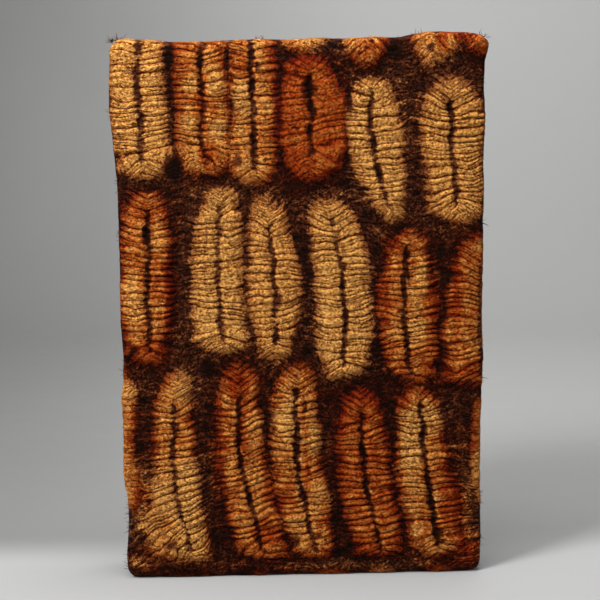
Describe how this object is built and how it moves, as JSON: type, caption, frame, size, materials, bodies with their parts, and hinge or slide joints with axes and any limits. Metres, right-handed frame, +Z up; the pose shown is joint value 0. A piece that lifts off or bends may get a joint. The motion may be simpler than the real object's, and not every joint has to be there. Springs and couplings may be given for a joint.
{
  "type": "raffia cloth on a stretcher frame",
  "caption": "Stitch-resist dyed raffia cloth with rows of ribbed puckers, stretched over a wooden frame whose back is open; stands upright on its lower edge.",
  "frame": {"origin": "middle of the base of the panel's box", "axes": "+Z up along the panel's height, +Y from the cloth's face to the open back, +X to the right as the face is seen"},
  "size_m": [0.3128, 0.0468, 0.4651],
  "materials": {
    "raffia": "matte plaited raffia fibre, undyed gold and rust puckers on a very dark brown ground",
    "frame_wood": "planed softwood, unfinished"
  },
  "bodies": {
    "root": {"raffia_cloth": "raffia", "frame_bar_bottom": "frame_wood", "frame_bar_right": "frame_wood", "frame_bar_top": "frame_wood", "frame_bar_left": "frame_wood"}
  },
  "joints": []
}
